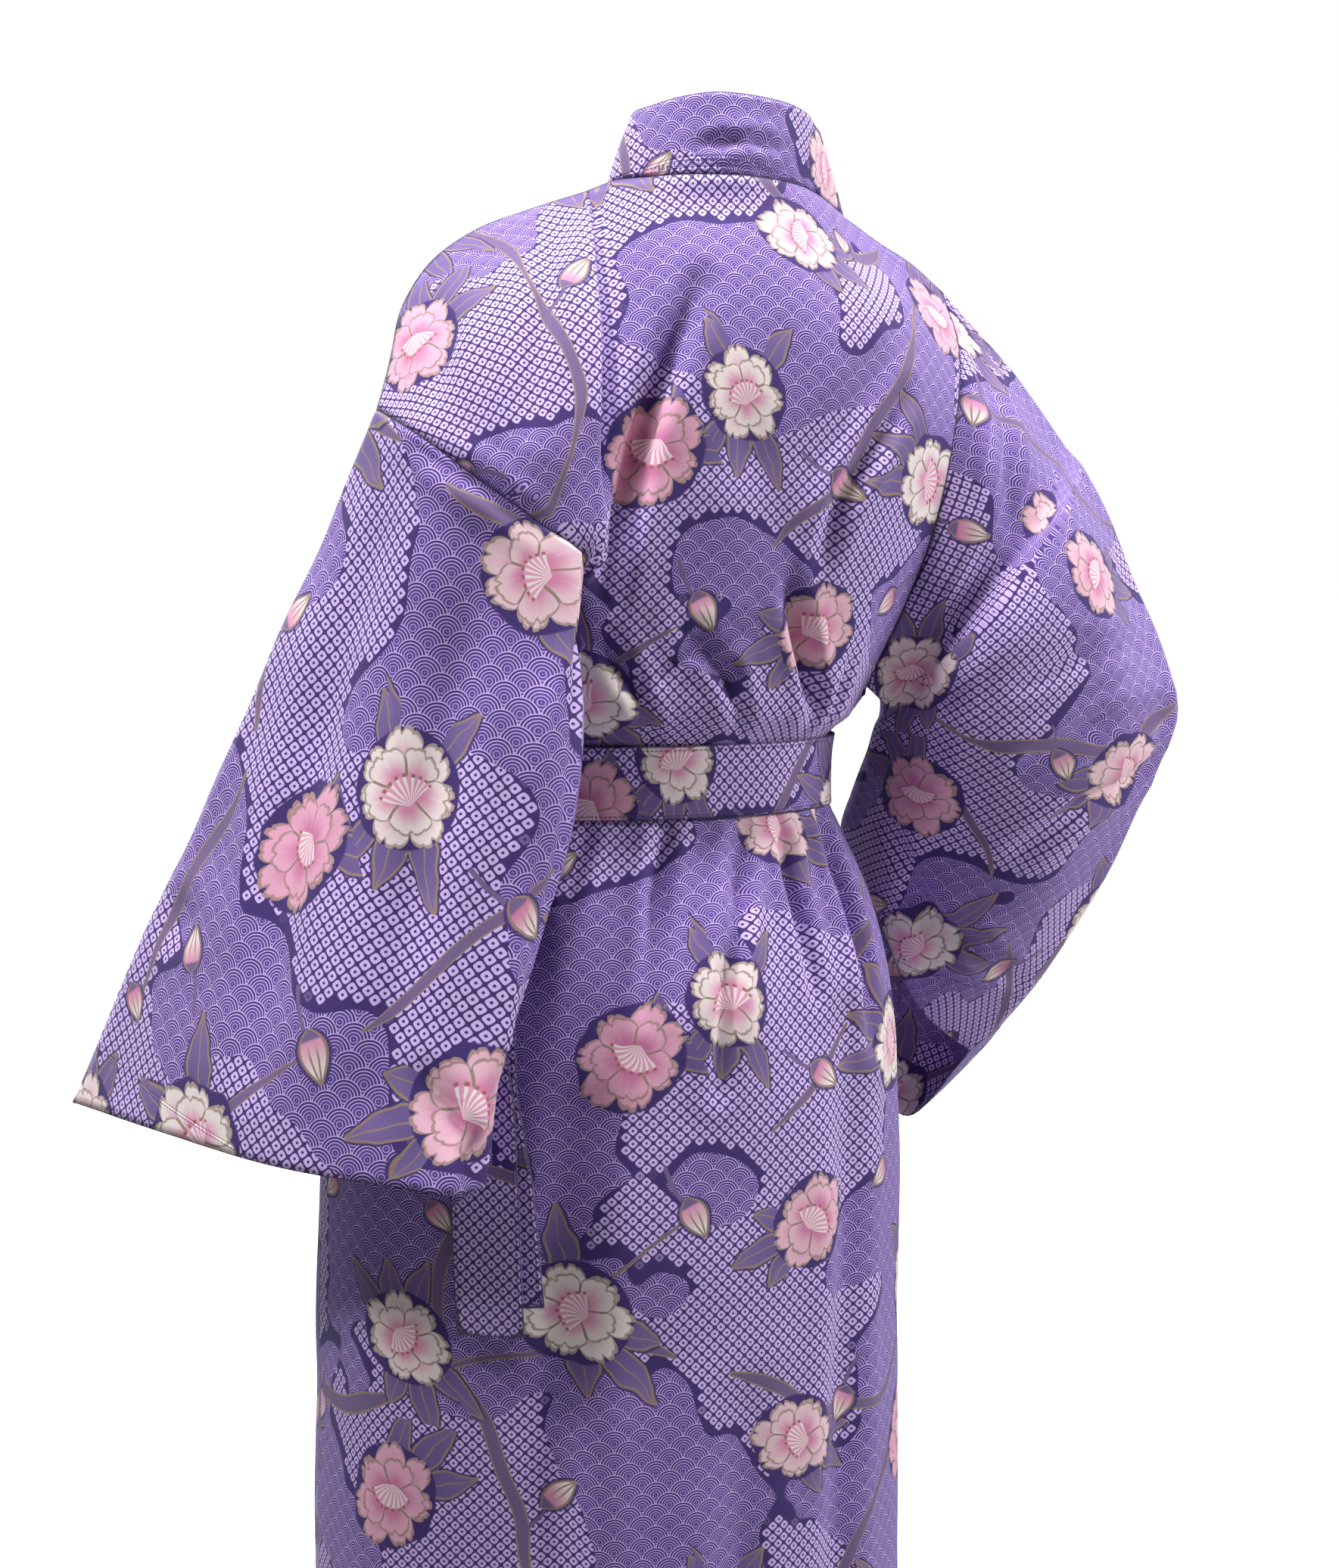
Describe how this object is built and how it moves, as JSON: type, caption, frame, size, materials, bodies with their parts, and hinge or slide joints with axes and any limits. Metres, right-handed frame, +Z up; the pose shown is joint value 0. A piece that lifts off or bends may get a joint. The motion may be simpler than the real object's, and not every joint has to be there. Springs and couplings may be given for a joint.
{
  "type": "cotton yukata robe",
  "caption": "Ankle-length wrap robe of printed cotton in its hollow worn form, with wide open sleeves, a standing collar band and a tied waist belt.",
  "frame": {"origin": "the nape: in the middle of the neck opening at the height of the back neck seam, where the wearer's neck and shoulders hold the robe", "axes": "+Z up along the garment's length, -Y towards its front, +X towards the wearer's left"},
  "size_m": [0.783, 0.35, 1.321],
  "materials": {
    "back": "matt printed cotton",
    "left_front": "matt printed cotton",
    "right_front": "matt printed cotton",
    "left_sleeve": "matt printed cotton",
    "right_sleeve": "matt printed cotton",
    "collar": "matt printed cotton",
    "belt": "matt printed cotton",
    "belt_knot": "matt printed cotton",
    "belt_tail_outer": "matt printed cotton",
    "belt_tail_inner": "matt printed cotton"
  },
  "bodies": {
    "root": {"back": "back", "left_front": "left_front", "right_front": "right_front", "left_sleeve": "left_sleeve", "right_sleeve": "right_sleeve", "collar": "collar", "belt": "belt", "belt_knot": "belt_knot", "belt_tail_outer": "belt_tail_outer", "belt_tail_inner": "belt_tail_inner"}
  },
  "joints": []
}
